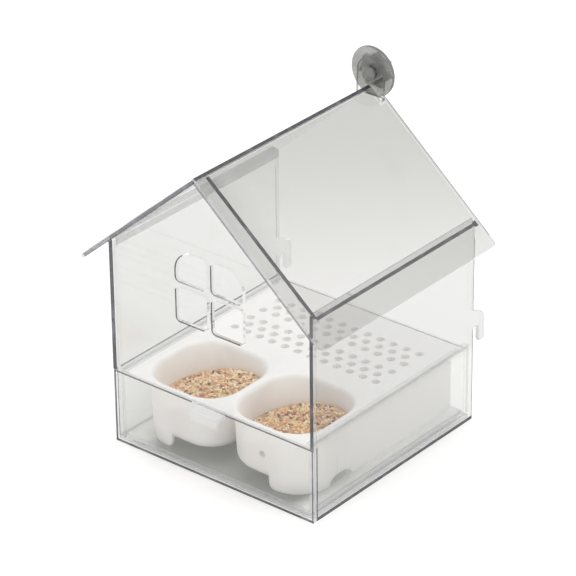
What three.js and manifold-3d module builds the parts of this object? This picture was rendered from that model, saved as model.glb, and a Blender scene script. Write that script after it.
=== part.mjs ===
import * as THREE from 'three';
import { mergeVertices } from 'three/addons/utils/BufferGeometryUtils.js';
import Module from 'manifold-3d';

// Cage feeder shaped like a small gabled house: clear sheets, a drawer with a white two-bowl insert, and a
// clamp on the ridge that grips the cage bars. Millimetres, +Z up. X runs across the gable, -Y is the gable
// front and +Y the open side that meets the cage. The origin is the middle of the footprint, underneath.

const wasm = await Module();
wasm.setup();

// House shell
const houseWidth = 150;
const houseDepth = 150;
const eaveHeight = 132;
const ridgeHeight = 196.5;
const wallThickness = 2.6;
const floorThickness = 2.6;
const glueGap = 0.3;
const seamHeight = 48;
const seamGap = 0.4;

// Roof sheets
const roofThickness = 2.6;
const roofFrontOverhang = 10.8;
const roofBackOverhang = 0.8;
const eaveOverhang = 13.7;
const frontCornerRadius = 5.5;
const backCornerRadius = 2.4;
const clampNotchWidth = 17;
const clampNotchDepth = 4.8;

// Window in the gable: four panes round a cross
const windowWidth = 50;
const windowSill = 97.8;
const lowerPaneHeight = 22.4;
const upperPaneHeight = 20;
const windowBar = 3.4;
const paneCornerRadius = 3;
const windowArchRadius = 13;

// Hooks on the side walls
const hookReach = 11.3;
const hookGap = 5.5;
const hookStemTop = 73.5;
const hookStemBottom = 61.5;
const hookTip = 50.5;
const hookShoulderDrop = 4.5;
const hookShoulderRadius = 5;
const hookTipRadius = 2.2;
const hookSeatRadius = 1.2;

// Rails above the drawer's sides
const railWidth = 4;
const railThickness = 1.6;

// Drawer
const drawerWall = 2.6;
const drawerFloorThickness = 2.6;
const slideGap = 0.4;
const pullWidth = 22;
const pullReach = 8.4;
const pullHeight = 6.5;
const pullThickness = 2.2;
const pullCornerRadius = 3;
const pullNoseRadius = 1.8;

// White insert with two bowls and a grate
const insertThickness = 2;
const insertDrop = 0.5;
const insertFit = 0.4;
const insertCornerRadius = 4;
const restGap = 0.3;
const bowlOpening = 58;
const bowlCornerRadius = 18;
const bowlRoundShare = 0.6;
const bowlRoundLimitShare = 0.96;
const bowlSpacing = 64.6;
const bowlFrontMargin = 1.8;
const bowlFloorHeight = 12.7;
const bowlFloorFillet = 5;
const bowlRimFillet = 2.8;
const bowlDraft = THREE.MathUtils.degToRad(2);
const legInset = 4.4;
const legToe = 4;
const skirtBackMargin = 0.5;
const skirtCornerRadius = 3;
const archWidth = 20;
const archHeight = 5.4;
const archInset = 37;
const dimpleRadius = 2.5;
const dimpleDepth = 1.3;

// Grate: two bands of staggered round holes
const grateHoleDiameter = 5.5;
const gratePitch = 9.7;
const grateRowPitch = 7.5;
const grateWidth = 112.5;
const grateBandCentres = [16.8, 43.4];
const grateRowsPerBand = 3;

// Seed heaps
const seedLevel = 34;
const seedCrown = 4;
const seedTilt = 12.5;
const seedGap = 0.4;

// Clamp on the ridge
const boltRise = 10.5;
const boltRadius = 2.8;
const boltHeadRadius = 4.4;
const boltHeadHeight = 4.2;
const boltEndChamfer = 0.6;
const boreGap = 0.3;
const tabThickness = 2;
const tabHeadRadius = 9.6;
const tabBaseWidth = 20;
const tabFootDrop = 3.5;
const washerRadius = 15.8;
const washerThickness = 2;
const washerRimRadius = 0.8;
const knobRadius = 11.4;
const knobThickness = 4.4;
const knobHubRadius = 6;
const knobHubHeight = 2;
const knobScallopDepth = 1.3;
const knobLobes = 7;
const knobRestAngle = THREE.MathUtils.degToRad(-15.7);
const clampGap = 0.3;
const clampTravel = 5;
const boltSpare = 1.5;

// Counts for curves, one overrun for every cut, and the weld distance for joined vertices
const arcSteps = 4;
const bowlCornerSteps = 6;
const filletSteps = 4;
const wallSteps = 4;
const turnSteps = 40;
const cutOverrun = 2;
const weldDistance = 0.0001;

const quarterTurn = Math.PI / 2;
const halfHouse = houseWidth / 2;
const frontFace = -houseDepth / 2;
const backFace = houseDepth / 2;
const roofSlope = Math.atan2(ridgeHeight - eaveHeight, halfHouse);
const roofRise = Math.tan(roofSlope);
const roofDrop = glueGap / Math.cos(roofSlope);
const roofTopHeight = ridgeHeight + roofThickness / Math.cos(roofSlope);
const boltHeight = ridgeHeight + boltRise;
const roofBackEnd = backFace + roofBackOverhang;
const wallInner = halfHouse - wallThickness;
const sheetFront = frontFace + wallThickness + glueGap;
const railInner = wallInner - glueGap - railWidth;
const drawerOuter = wallInner - slideGap;
const drawerInner = drawerOuter - drawerWall;
const drawerLow = floorThickness + slideGap;
const drawerFloorTop = drawerLow + drawerFloorThickness;
const drawerFrontBack = frontFace + drawerWall;
const drawerBackFront = backFace - drawerWall;
const insertHalfWidth = railInner - insertFit;
const insertFront = drawerFrontBack + insertFit;
const insertBack = drawerBackFront - insertFit;
const insertTop = seamHeight - insertDrop;
const insertFoot = drawerFloorTop + restGap;
const bowlCentreX = bowlSpacing / 2;
const bowlCentreY = insertFront + bowlFrontMargin + bowlRimFillet + bowlOpening / 2;
const notchFront = roofBackEnd - clampNotchDepth;
const tabFront = notchFront + glueGap;
const tabBack = tabFront + tabThickness;
const washerFront = tabBack + clampGap;
const knobFront = washerFront + washerThickness + clampGap;

const finishes = {
  clear: { color: 0xe6e9ea, roughness: 0.06, metalness: 0, transparent: true, opacity: 0.35 },
  white: { color: 0xf2f2f0, roughness: 0.5, metalness: 0 },
  clamp: { color: 0xa9ada7, roughness: 0.25, metalness: 0, transparent: true, opacity: 0.75 },
  seed: { color: 0xc79a63, roughness: 0.85, metalness: 0 },
};

function toSolid(geometry) {
  const bare = geometry.clone();
  bare.deleteAttribute('normal');
  bare.deleteAttribute('uv');
  const welded = mergeVertices(bare, weldDistance);
  const vertProperties = new Float32Array(welded.attributes.position.array);
  const triVerts = new Uint32Array(welded.index.array);
  return new wasm.Manifold(new wasm.Mesh({ numProp: 3, vertProperties, triVerts }));
}

function toGeometry(solid) {
  const mesh = solid.getMesh();
  const geometry = new THREE.BufferGeometry();
  geometry.setAttribute('position', new THREE.BufferAttribute(new Float32Array(mesh.vertProperties), 3));
  geometry.setIndex(new THREE.BufferAttribute(new Uint32Array(mesh.triVerts), 1));
  geometry.computeVertexNormals();
  return geometry;
}

function join(...geometries) {
  const [first, ...others] = geometries.map(toSolid);
  return toGeometry(others.reduce((whole, solid) => whole.add(solid), first));
}

function cut(geometry, ...tools) {
  return toGeometry(tools.map(toSolid).reduce((whole, tool) => whole.subtract(tool), toSolid(geometry)));
}

function overlap(geometry, other) {
  return toGeometry(toSolid(geometry).intersect(toSolid(other)));
}

// The other hand of a piece: X is flipped, and each triangle is turned round to keep its face out.
function mirrored(geometry) {
  const copy = mergeVertices(geometry.clone(), weldDistance);
  copy.scale(-1, 1, 1);
  const index = copy.index.array;
  for (let corner = 0; corner < index.length; corner += 3) {
    [index[corner], index[corner + 1]] = [index[corner + 1], index[corner]];
  }
  copy.computeVertexNormals();
  return copy;
}

function block(xLow, xHigh, yLow, yHigh, zLow, zHigh) {
  const box = new THREE.BoxGeometry(xHigh - xLow, yHigh - yLow, zHigh - zLow);
  box.translate((xLow + xHigh) / 2, (yLow + yHigh) / 2, (zLow + zHigh) / 2);
  return box;
}

function extrude(shape, depth, curveSegments = arcSteps) {
  return new THREE.ExtrudeGeometry(shape, { depth, bevelEnabled: false, curveSegments });
}

// A sheet drawn as (x, z), with its front face at y = front.
function sheetFacingY(shape, thickness, front) {
  const sheet = extrude(shape, thickness);
  sheet.rotateX(quarterTurn);
  sheet.translate(0, front + thickness, 0);
  return sheet;
}

// A sheet drawn as (y, z), with its low face at x = low.
function sheetFacingX(shape, thickness, low) {
  const sheet = extrude(shape, thickness);
  const axes = new THREE.Matrix4().makeBasis(
    new THREE.Vector3(0, 1, 0),
    new THREE.Vector3(0, 0, 1),
    new THREE.Vector3(1, 0, 0),
  );
  sheet.applyMatrix4(axes);
  sheet.translate(low, 0, 0);
  return sheet;
}

// A rectangle with its own radius at each corner, in the order low left, low right, high right, high left.
function roundedRectangle(Outline, left, right, low, high, radii) {
  const [lowLeft, lowRight, highRight, highLeft] = radii;
  const outline = new Outline();
  outline.moveTo(left + lowLeft, low);
  outline.lineTo(right - lowRight, low);
  outline.absarc(right - lowRight, low + lowRight, lowRight, -quarterTurn, 0, false);
  outline.lineTo(right, high - highRight);
  outline.absarc(right - highRight, high - highRight, highRight, 0, quarterTurn, false);
  outline.lineTo(left + highLeft, high);
  outline.absarc(left + highLeft, high - highLeft, highLeft, quarterTurn, 2 * quarterTurn, false);
  outline.lineTo(left, low + lowLeft);
  outline.absarc(left + lowLeft, low + lowLeft, lowLeft, 2 * quarterTurn, 3 * quarterTurn, false);
  return outline;
}

// The house's cross-section under the roof, from a given height up to the glue line.
function gableOutline(low, spare) {
  const half = halfHouse + spare;
  const eave = eaveHeight - roofDrop - spare * roofRise;
  const outline = new THREE.Shape();
  outline.moveTo(-half, low);
  outline.lineTo(half, low);
  outline.lineTo(half, eave);
  outline.lineTo(0, ridgeHeight - roofDrop);
  outline.lineTo(-half, eave);
  outline.closePath();
  return outline;
}

// Front sheet above the drawer, with the four-pane window. The outer top corners of the window are arched.
function frontGable() {
  const outline = gableOutline(seamHeight + seamGap, 0);
  const outer = windowWidth / 2;
  const inner = windowBar / 2;
  const lowerTop = windowSill + lowerPaneHeight;
  const upperLow = lowerTop + windowBar;
  const upperTop = upperLow + upperPaneHeight;
  const small = paneCornerRadius;
  const plain = [small, small, small, small];
  const archedLeft = [small, small, small, windowArchRadius];
  const archedRight = [small, small, windowArchRadius, small];
  outline.holes.push(
    roundedRectangle(THREE.Path, -outer, -inner, windowSill, lowerTop, plain),
    roundedRectangle(THREE.Path, inner, outer, windowSill, lowerTop, plain),
    roundedRectangle(THREE.Path, -outer, -inner, upperLow, upperTop, archedLeft),
    roundedRectangle(THREE.Path, inner, outer, upperLow, upperTop, archedRight),
  );
  return sheetFacingY(outline, wallThickness, frontFace);
}

// Side sheet, with the J hook that drops over a horizontal cage bar. The roof line bevels its top edge.
function sideWall() {
  const wallTop = ridgeHeight;
  const fingerInner = backFace + hookGap;
  const fingerOuter = backFace + hookReach;
  const shoulder = hookStemTop - hookShoulderDrop;
  const bendStart = fingerOuter - hookShoulderRadius;
  const outline = new THREE.Shape();
  outline.moveTo(sheetFront, 0);
  outline.lineTo(backFace, 0);
  outline.lineTo(backFace, hookStemBottom - hookSeatRadius);
  outline.quadraticCurveTo(backFace, hookStemBottom, backFace + hookSeatRadius, hookStemBottom);
  outline.lineTo(fingerInner - hookSeatRadius, hookStemBottom);
  outline.quadraticCurveTo(fingerInner, hookStemBottom, fingerInner, hookStemBottom - hookSeatRadius);
  outline.lineTo(fingerInner, hookTip + hookTipRadius);
  outline.quadraticCurveTo(fingerInner, hookTip, fingerInner + hookTipRadius, hookTip);
  outline.lineTo(fingerOuter - hookTipRadius, hookTip);
  outline.quadraticCurveTo(fingerOuter, hookTip, fingerOuter, hookTip + hookTipRadius);
  outline.lineTo(fingerOuter, shoulder - hookShoulderRadius);
  outline.quadraticCurveTo(fingerOuter, shoulder, bendStart, shoulder + hookShoulderDrop / 2);
  outline.lineTo(backFace, hookStemTop);
  outline.lineTo(backFace, wallTop);
  outline.lineTo(sheetFront, wallTop);
  outline.closePath();
  const wall = sheetFacingX(outline, wallThickness, wallInner);
  const underRoof = sheetFacingY(
    gableOutline(-cutOverrun, cutOverrun),
    houseDepth + hookReach + 2 * cutOverrun,
    frontFace - cutOverrun,
  );
  return overlap(wall, underRoof);
}

function floorPlate() {
  const half = wallInner - glueGap;
  return block(-half, half, sheetFront, backFace, 0, floorThickness);
}

// Strip glued to the side sheet just above the drawer's side, so the open drawer can't tip.
function drawerRail() {
  const low = seamHeight + seamGap;
  return block(railInner, wallInner - glueGap, sheetFront, backFace, low, low + railThickness);
}

// One slope of the roof: mitred at the ridge, round at the eave's corners, notched at the back for the clamp.
function roofSheet() {
  const slopeLength = (halfHouse + eaveOverhang) / Math.cos(roofSlope);
  const mitreSpare = roofThickness * roofRise + cutOverrun;
  const outline = roundedRectangle(
    THREE.Shape,
    -mitreSpare,
    slopeLength,
    frontFace - roofFrontOverhang,
    roofBackEnd,
    [0, frontCornerRadius, backCornerRadius, 0],
  );
  const sheet = extrude(outline, roofThickness);
  sheet.rotateY(roofSlope);
  sheet.translate(0, 0, ridgeHeight);
  const reach = houseWidth;
  const beyondRidge = block(-reach, glueGap / 2, -reach, reach, eaveHeight, ridgeHeight + reach);
  const notch = block(-reach, clampNotchWidth / 2, notchFront, reach, eaveHeight, ridgeHeight + reach);
  return cut(sheet, beyondRidge, notch);
}

function roofTopAt(x) {
  return roofTopHeight - x * roofRise;
}

// Upright plate at the ridge's back end: it stands on both slopes, and its foot fills the notch between them.
function ridgeTab() {
  const baseHalf = tabBaseWidth / 2;
  const footHalf = clampNotchWidth / 2 - glueGap;
  const footLow = ridgeHeight - tabFootDrop;
  const baseLow = roofTopAt(baseHalf) + roofDrop;
  const footHigh = roofTopAt(footHalf) + roofDrop;
  const toBase = new THREE.Vector2(baseHalf, baseLow - boltHeight);
  const tangent = toBase.angle() - 4 * quarterTurn + Math.acos(tabHeadRadius / toBase.length());
  const outline = new THREE.Shape();
  outline.moveTo(-footHalf, footLow);
  outline.lineTo(footHalf, footLow);
  outline.lineTo(footHalf, footHigh);
  outline.lineTo(baseHalf, baseLow);
  outline.absarc(0, boltHeight, tabHeadRadius, tangent, 2 * quarterTurn - tangent, false);
  outline.lineTo(-baseHalf, baseLow);
  outline.lineTo(-footHalf, footHigh);
  outline.closePath();
  const hole = new THREE.Path();
  hole.absarc(0, boltHeight, boltRadius + boreGap, 0, 4 * quarterTurn, true);
  outline.holes.push(hole);
  const sheet = extrude(outline, tabThickness, turnSteps / 4);
  sheet.rotateX(quarterTurn);
  sheet.translate(0, tabBack, 0);
  return sheet;
}

// A piece turned about the clamp's axis: the profile gives (radius, y).
function turned(profile) {
  const points = profile.map(([radius, y]) => new THREE.Vector2(radius, y));
  const piece = new THREE.LatheGeometry(points, turnSteps);
  piece.translate(0, 0, boltHeight);
  return piece;
}

function clampBolt() {
  const headBack = tabFront - glueGap;
  const headFront = headBack - boltHeadHeight;
  const boltEnd = knobFront + knobThickness + knobHubHeight + clampTravel + boltSpare;
  return turned([
    [0, headFront],
    [boltHeadRadius / 2, headFront],
    [boltHeadRadius, headBack - boltHeadHeight / 3],
    [boltHeadRadius, headBack],
    [boltRadius, headBack],
    [boltRadius, boltEnd - boltEndChamfer],
    [boltRadius - boltEndChamfer, boltEnd],
    [0, boltEnd],
  ]);
}

function clampWasher() {
  const washerBack = washerFront + washerThickness;
  const bore = boltRadius + boreGap;
  return turned([
    [bore, washerFront],
    [washerRadius - washerRimRadius, washerFront],
    [washerRadius, washerFront + washerRimRadius],
    [washerRadius, washerBack - washerRimRadius],
    [washerRadius - washerRimRadius, washerBack],
    [bore, washerBack],
    [bore, washerFront],
  ]);
}

// Hand nut: a scalloped disc whose hollows meet in finger ridges, with a hub behind.
function clampKnob() {
  const outline = new THREE.Shape();
  const lobeAngle = 4 * quarterTurn / knobLobes;
  const hollow = knobRadius * Math.cos(lobeAngle / 2) - 2 * knobScallopDepth;
  outline.moveTo(knobRadius * Math.cos(knobRestAngle), knobRadius * Math.sin(knobRestAngle));
  for (let lobe = 0; lobe < knobLobes; lobe += 1) {
    const middle = knobRestAngle + (lobe + 1 / 2) * lobeAngle;
    const end = knobRestAngle + (lobe + 1) * lobeAngle;
    outline.quadraticCurveTo(
      hollow * Math.cos(middle),
      hollow * Math.sin(middle),
      knobRadius * Math.cos(end),
      knobRadius * Math.sin(end),
    );
  }
  const disc = sheetFacingY(outline, knobThickness, knobFront);
  disc.translate(0, 0, boltHeight);
  const hubHeight = knobHubHeight + knobThickness / 2;
  const hub = new THREE.CylinderGeometry(knobHubRadius, knobHubRadius, hubHeight, turnSteps);
  hub.translate(0, knobFront + knobThickness + knobHubHeight - hubHeight / 2, boltHeight);
  const boreLength = knobThickness + knobHubHeight + 2 * cutOverrun;
  const bore = new THREE.CylinderGeometry(boltRadius + boreGap, boltRadius + boreGap, boreLength, turnSteps);
  bore.translate(0, knobFront - cutOverrun + boreLength / 2, boltHeight);
  return cut(join(disc, hub), bore);
}

// Drawer front with the hooded finger pull in the middle of its top edge.
function drawerFront() {
  const plate = block(-halfHouse, halfHouse, frontFace, drawerFrontBack, slideGap, seamHeight);
  const nose = frontFace - pullReach;
  const low = seamHeight - pullHeight;
  const under = seamHeight - pullThickness;
  const outline = new THREE.Shape();
  outline.moveTo(drawerFrontBack, seamHeight);
  outline.lineTo(nose + pullNoseRadius, seamHeight);
  outline.quadraticCurveTo(nose, seamHeight, nose, seamHeight - pullNoseRadius);
  outline.lineTo(nose, low);
  outline.lineTo(nose + pullThickness, low);
  outline.lineTo(nose + pullThickness, under);
  outline.lineTo(drawerFrontBack, under);
  outline.closePath();
  const hood = sheetFacingX(outline, pullWidth, -pullWidth / 2);
  const plan = roundedRectangle(
    THREE.Shape,
    -pullWidth / 2,
    pullWidth / 2,
    nose,
    drawerFrontBack,
    [pullCornerRadius, pullCornerRadius, 0, 0],
  );
  const plug = extrude(plan, pullHeight + 2 * cutOverrun);
  plug.translate(0, 0, low - cutOverrun);
  const face = roundedRectangle(
    THREE.Shape,
    -pullWidth / 2,
    pullWidth / 2,
    low,
    seamHeight + cutOverrun,
    [pullCornerRadius, pullCornerRadius, 0, 0],
  );
  const mask = sheetFacingY(face, pullReach + drawerWall + 2 * cutOverrun, nose - cutOverrun);
  return join(plate, overlap(overlap(hood, plug), mask));
}

function drawerSide() {
  return block(drawerInner, drawerOuter, drawerFrontBack + glueGap, backFace, drawerLow, seamHeight);
}

function drawerBack() {
  const half = drawerInner - glueGap;
  return block(-half, half, drawerBackFront, backFace, drawerLow, seamHeight);
}

function drawerFloor() {
  const half = drawerInner - glueGap;
  return block(-half, half, drawerFrontBack + glueGap, drawerBackFront - glueGap, drawerLow, drawerFloorTop);
}

// A closed vessel lofted through rounded squares, each { half, corner, z }, listed from the bottom up.
function vessel(levels, centreX, centreY) {
  const ringSize = 4 * (bowlCornerSteps + 1);
  const positions = [];
  for (const { half, corner, z } of levels) {
    for (let quadrant = 0; quadrant < 4; quadrant += 1) {
      const signX = quadrant === 0 || quadrant === 3 ? 1 : -1;
      const signY = quadrant < 2 ? 1 : -1;
      for (let step = 0; step <= bowlCornerSteps; step += 1) {
        const angle = quarterTurn * (quadrant + step / bowlCornerSteps);
        positions.push(
          centreX + signX * (half - corner) + corner * Math.cos(angle),
          centreY + signY * (half - corner) + corner * Math.sin(angle),
          z,
        );
      }
    }
  }
  const index = [];
  for (let level = 0; level + 1 < levels.length; level += 1) {
    for (let point = 0; point < ringSize; point += 1) {
      const low = level * ringSize + point;
      const lowNext = level * ringSize + (point + 1) % ringSize;
      index.push(low, lowNext, lowNext + ringSize, low, lowNext + ringSize, low + ringSize);
    }
  }
  const lowCentre = levels.length * ringSize;
  const highCentre = lowCentre + 1;
  const highRing = (levels.length - 1) * ringSize;
  positions.push(centreX, centreY, levels[0].z, centreX, centreY, levels[levels.length - 1].z);
  for (let point = 0; point < ringSize; point += 1) {
    const next = (point + 1) % ringSize;
    index.push(lowCentre, next, point, highCentre, highRing + point, highRing + next);
  }
  const geometry = new THREE.BufferGeometry();
  geometry.setAttribute('position', new THREE.Float32BufferAttribute(positions, 3));
  geometry.setIndex(index);
  return geometry;
}

// Half the bowl's inner width at a height: the walls lean in by the draft.
function bowlHalfAt(z) {
  return bowlOpening / 2 - (insertTop - z) * Math.tan(bowlDraft);
}

// Corner radius inside the bowl at a height: it grows with the depth, until the bowl is nearly round.
function bowlCornerAt(z, half) {
  return Math.min(bowlRoundLimitShare * half, bowlCornerRadius + (insertTop - z) * bowlRoundShare);
}

// Rounded floor of a bowl, grown outwards by a wall.
function bowlFloorLevels(wall) {
  const levels = [];
  const side = bowlHalfAt(bowlFloorHeight + bowlFloorFillet) + wall;
  const fillet = bowlFloorFillet + wall;
  for (let step = 0; step <= filletSteps; step += 1) {
    const angle = quarterTurn * step / filletSteps;
    const half = side - fillet * (1 - Math.sin(angle));
    const z = bowlFloorHeight - wall + fillet * (1 - Math.cos(angle));
    const outerCorner = bowlCornerRadius + wall - fillet * (1 - Math.sin(angle)) / 2;
    levels.push({ half, corner: wall > 0 ? outerCorner : bowlCornerAt(z, half), z });
  }
  return levels;
}

// A bowl's inner form, with the rim rounded over into the plate.
function bowlHollow() {
  const levels = bowlFloorLevels(0);
  const bottom = levels[levels.length - 1].z;
  const rimStart = insertTop - bowlRimFillet;
  for (let step = 1; step < wallSteps; step += 1) {
    const z = bottom + (rimStart - bottom) * step / wallSteps;
    levels.push({ half: bowlHalfAt(z), corner: bowlCornerAt(z, bowlHalfAt(z)), z });
  }
  for (let step = 0; step <= filletSteps; step += 1) {
    const angle = quarterTurn * step / filletSteps;
    const z = rimStart + bowlRimFillet * Math.sin(angle);
    const flare = bowlRimFillet * (1 - Math.cos(angle));
    levels.push({ half: bowlHalfAt(z) + flare, corner: bowlCornerAt(z, bowlHalfAt(z)) + flare, z });
  }
  const rim = levels[levels.length - 1];
  levels.push({ ...rim, z: insertTop + cutOverrun });
  return vessel(levels, bowlCentreX, bowlCentreY);
}

// A bowl's outer form, up to the middle of the plate.
function bowlBody() {
  const levels = bowlFloorLevels(insertThickness);
  const z = insertTop - insertThickness / 2;
  levels.push({ half: bowlHalfAt(z) + insertThickness, corner: bowlCornerRadius + insertThickness, z });
  return vessel(levels, bowlCentreX, bowlCentreY);
}

// Wall round the bowl's outer front corner, which stands on the drawer's floor as a leg.
function bowlLeg() {
  const top = bowlFloorHeight + bowlFloorFillet;
  const low = insertFoot - cutOverrun;
  const shell = (wall, bottom, height) => vessel(
    [bottom, height].map((z) => ({ half: bowlHalfAt(z) + wall, corner: bowlCornerRadius + wall, z })),
    bowlCentreX,
    bowlCentreY,
  );
  const edge = bowlCentreX + legInset;
  const outer = bowlCentreX + bowlOpening;
  const outline = new THREE.Shape();
  outline.moveTo(edge, top);
  outline.lineTo(edge, bowlFloorHeight - insertThickness);
  outline.quadraticCurveTo(edge, insertFoot, edge + legToe, insertFoot);
  outline.lineTo(outer, insertFoot);
  outline.lineTo(outer, top);
  outline.closePath();
  const region = sheetFacingY(outline, bowlCentreY - insertFront, insertFront);
  const ring = cut(shell(insertThickness, low, top), shell(0, low - cutOverrun, top + cutOverrun));
  return overlap(ring, region);
}

// Skirt under the plate: it carries the bowls' outer walls on to the back, round two corners, in one wall.
function insertSkirt() {
  const inner = bowlCentreX + bowlHalfAt((insertTop + insertFoot) / 2);
  const outer = inner + insertThickness;
  const back = insertBack - skirtBackMargin;
  const radius = skirtCornerRadius;
  const innerRadius = radius - insertThickness;
  const outline = new THREE.Shape();
  outline.moveTo(inner, bowlCentreY);
  outline.lineTo(outer, bowlCentreY);
  outline.lineTo(outer, back - radius);
  outline.absarc(outer - radius, back - radius, radius, 0, quarterTurn, false);
  outline.lineTo(radius - outer, back);
  outline.absarc(radius - outer, back - radius, radius, quarterTurn, 2 * quarterTurn, false);
  outline.lineTo(-outer, bowlCentreY);
  outline.lineTo(-inner, bowlCentreY);
  outline.lineTo(-inner, back - radius);
  outline.absarc(radius - outer, back - radius, innerRadius, 2 * quarterTurn, quarterTurn, true);
  outline.lineTo(outer - radius, back - insertThickness);
  outline.absarc(outer - radius, back - radius, innerRadius, quarterTurn, 0, true);
  outline.closePath();
  const skirt = extrude(outline, insertTop - insertThickness / 2 - insertFoot);
  skirt.translate(0, 0, insertFoot);
  return skirt;
}

// Low arch through both side walls of the skirt, which leaves the front corners as legs.
function skirtArch() {
  const reach = insertHalfWidth + cutOverrun;
  const centre = insertFront + archInset;
  const outline = new THREE.Shape();
  outline.absellipse(centre, insertFoot, archWidth / 2, archHeight, 0, 2 * quarterTurn, false, 0);
  outline.lineTo(centre - archWidth / 2, insertFoot - cutOverrun);
  outline.lineTo(centre + archWidth / 2, insertFoot - cutOverrun);
  outline.closePath();
  return sheetFacingX(outline, 2 * reach, -reach);
}

function insertPlate() {
  const low = insertTop - insertThickness;
  const radius = insertCornerRadius;
  const outline = roundedRectangle(
    THREE.Shape,
    -insertHalfWidth,
    insertHalfWidth,
    insertFront,
    insertBack,
    [radius, radius, radius, radius],
  );
  const most = Math.floor((grateWidth - grateHoleDiameter) / gratePitch) + 1;
  for (const bandCentre of grateBandCentres) {
    for (let row = 0; row < grateRowsPerBand; row += 1) {
      const y = bandCentre + (row - (grateRowsPerBand - 1) / 2) * grateRowPitch;
      const count = row % 2 ? most - 1 : most;
      for (let place = 0; place < count; place += 1) {
        const x = (place - (count - 1) / 2) * gratePitch;
        const hole = new THREE.Path();
        hole.absarc(x, y, grateHoleDiameter / 2, 0, 4 * quarterTurn, true);
        outline.holes.push(hole);
      }
    }
  }
  const plate = extrude(outline, insertThickness);
  plate.translate(0, 0, low);
  return plate;
}

// The white insert: top plate with the grate, two bowls with their corner legs, and the skirt below.
function feedingInsert() {
  const dimple = new THREE.SphereGeometry(dimpleRadius, turnSteps / 4, turnSteps / 4);
  const dimpleHeight = (insertTop + bowlFloorHeight) / 2 - bowlRimFillet;
  const bowlFront = bowlCentreY - bowlHalfAt(dimpleHeight) - insertThickness;
  dimple.translate(bowlCentreX, bowlFront - dimpleRadius + dimpleDepth, dimpleHeight);
  const bowl = bowlBody();
  const leg = bowlLeg();
  const hollow = bowlHollow();
  const body = join(insertPlate(), insertSkirt(), bowl, leg, mirrored(bowl), mirrored(leg));
  return cut(body, hollow, mirrored(hollow), skirtArch(), dimple);
}

// Seed lying in a bowl: a low crown that leans up towards +X, as it was poured.
function seedHeap() {
  const levels = bowlFloorLevels(-seedGap);
  const bottom = levels[levels.length - 1].z;
  const half = bowlHalfAt(seedLevel) - seedGap;
  const side = { half, corner: bowlRoundLimitShare * half, z: seedLevel };
  levels.push(side);
  for (let step = 1; step <= filletSteps; step += 1) {
    const share = 1 - step / (filletSteps + 1);
    levels.push({
      half: side.half * share,
      corner: side.corner * share,
      z: seedLevel + seedCrown * (1 - share * share),
    });
  }
  const heap = vessel(levels, bowlCentreX, bowlCentreY);
  const point = heap.attributes.position;
  for (let place = 0; place < point.count; place += 1) {
    const height = point.getZ(place);
    const lean = seedTilt * (point.getX(place) - bowlCentreX) / bowlOpening;
    const share = Math.max(0, height - bottom) / (seedLevel - bottom);
    point.setZ(place, height + lean * share);
  }
  return heap;
}

function mesh(name, geometry, finish) {
  const piece = new THREE.Mesh(geometry, new THREE.MeshStandardMaterial(finishes[finish]));
  piece.name = name;
  return piece;
}

function group(...children) {
  const whole = new THREE.Group();
  whole.add(...children);
  return whole;
}

const wall = sideWall();
const rail = drawerRail();
const slope = roofSheet();
const house = group(
  mesh('front_gable', frontGable(), 'clear'),
  mesh('left_wall', mirrored(wall), 'clear'),
  mesh('right_wall', wall, 'clear'),
  mesh('floor_plate', floorPlate(), 'clear'),
  mesh('left_rail', mirrored(rail), 'clear'),
  mesh('right_rail', rail, 'clear'),
  mesh('roof_left', mirrored(slope), 'clear'),
  mesh('roof_right', slope, 'clear'),
);

const clamp = group(
  mesh('ridge_tab', ridgeTab(), 'clear'),
  mesh('clamp_bolt', clampBolt(), 'clamp'),
  mesh('clamp_washer', clampWasher(), 'clamp'),
  mesh('clamp_knob', clampKnob(), 'clamp'),
);

const side = drawerSide();
const drawer = group(
  mesh('drawer_front', drawerFront(), 'clear'),
  mesh('drawer_left_side', mirrored(side), 'clear'),
  mesh('drawer_right_side', side, 'clear'),
  mesh('drawer_back', drawerBack(), 'clear'),
  mesh('drawer_floor', drawerFloor(), 'clear'),
);

const rightHeap = seedHeap();
const leftHeap = rightHeap.clone();
leftHeap.translate(-bowlSpacing, 0, 0);
const insert = group(
  mesh('feeding_insert', feedingInsert(), 'white'),
  mesh('seed_left', leftHeap, 'seed'),
  mesh('seed_right', rightHeap, 'seed'),
);

export default group(house, clamp, drawer, insert);
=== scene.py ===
"""Dresses the cage feeder: clear sheets, smoky clamp, white insert and loose seed, in a plain pale studio."""
import logging
import math
from dataclasses import dataclass
from enum import Enum
from typing import Callable, Iterable, Sequence, Union

import bmesh
import bpy
from bmesh.types import BMesh
from bpy.types import ID, Material, Mesh, Node, NodeSocket, NodeTree, Object
from mathutils import Matrix, Vector


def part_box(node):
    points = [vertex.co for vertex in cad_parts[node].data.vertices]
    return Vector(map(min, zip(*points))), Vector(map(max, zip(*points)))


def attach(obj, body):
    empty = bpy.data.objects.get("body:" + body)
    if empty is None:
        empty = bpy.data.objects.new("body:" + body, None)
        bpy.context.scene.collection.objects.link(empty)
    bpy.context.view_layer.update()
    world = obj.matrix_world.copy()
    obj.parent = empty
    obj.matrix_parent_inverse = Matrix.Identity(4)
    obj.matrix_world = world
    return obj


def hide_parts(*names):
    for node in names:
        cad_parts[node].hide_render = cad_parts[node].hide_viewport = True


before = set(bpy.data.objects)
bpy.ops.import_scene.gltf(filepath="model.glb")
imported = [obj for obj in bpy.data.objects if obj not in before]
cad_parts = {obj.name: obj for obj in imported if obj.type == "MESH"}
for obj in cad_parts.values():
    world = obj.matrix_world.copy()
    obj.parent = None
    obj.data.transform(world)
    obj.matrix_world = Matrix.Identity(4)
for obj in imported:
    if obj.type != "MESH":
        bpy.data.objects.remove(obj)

LOG = logging.getLogger("cage_feeder")
Number = Union[int, float]
Setting = Union[str, Sequence]
Colour = tuple[float, float, float]
Span = tuple[float, float]
MM = 0.001
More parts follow.
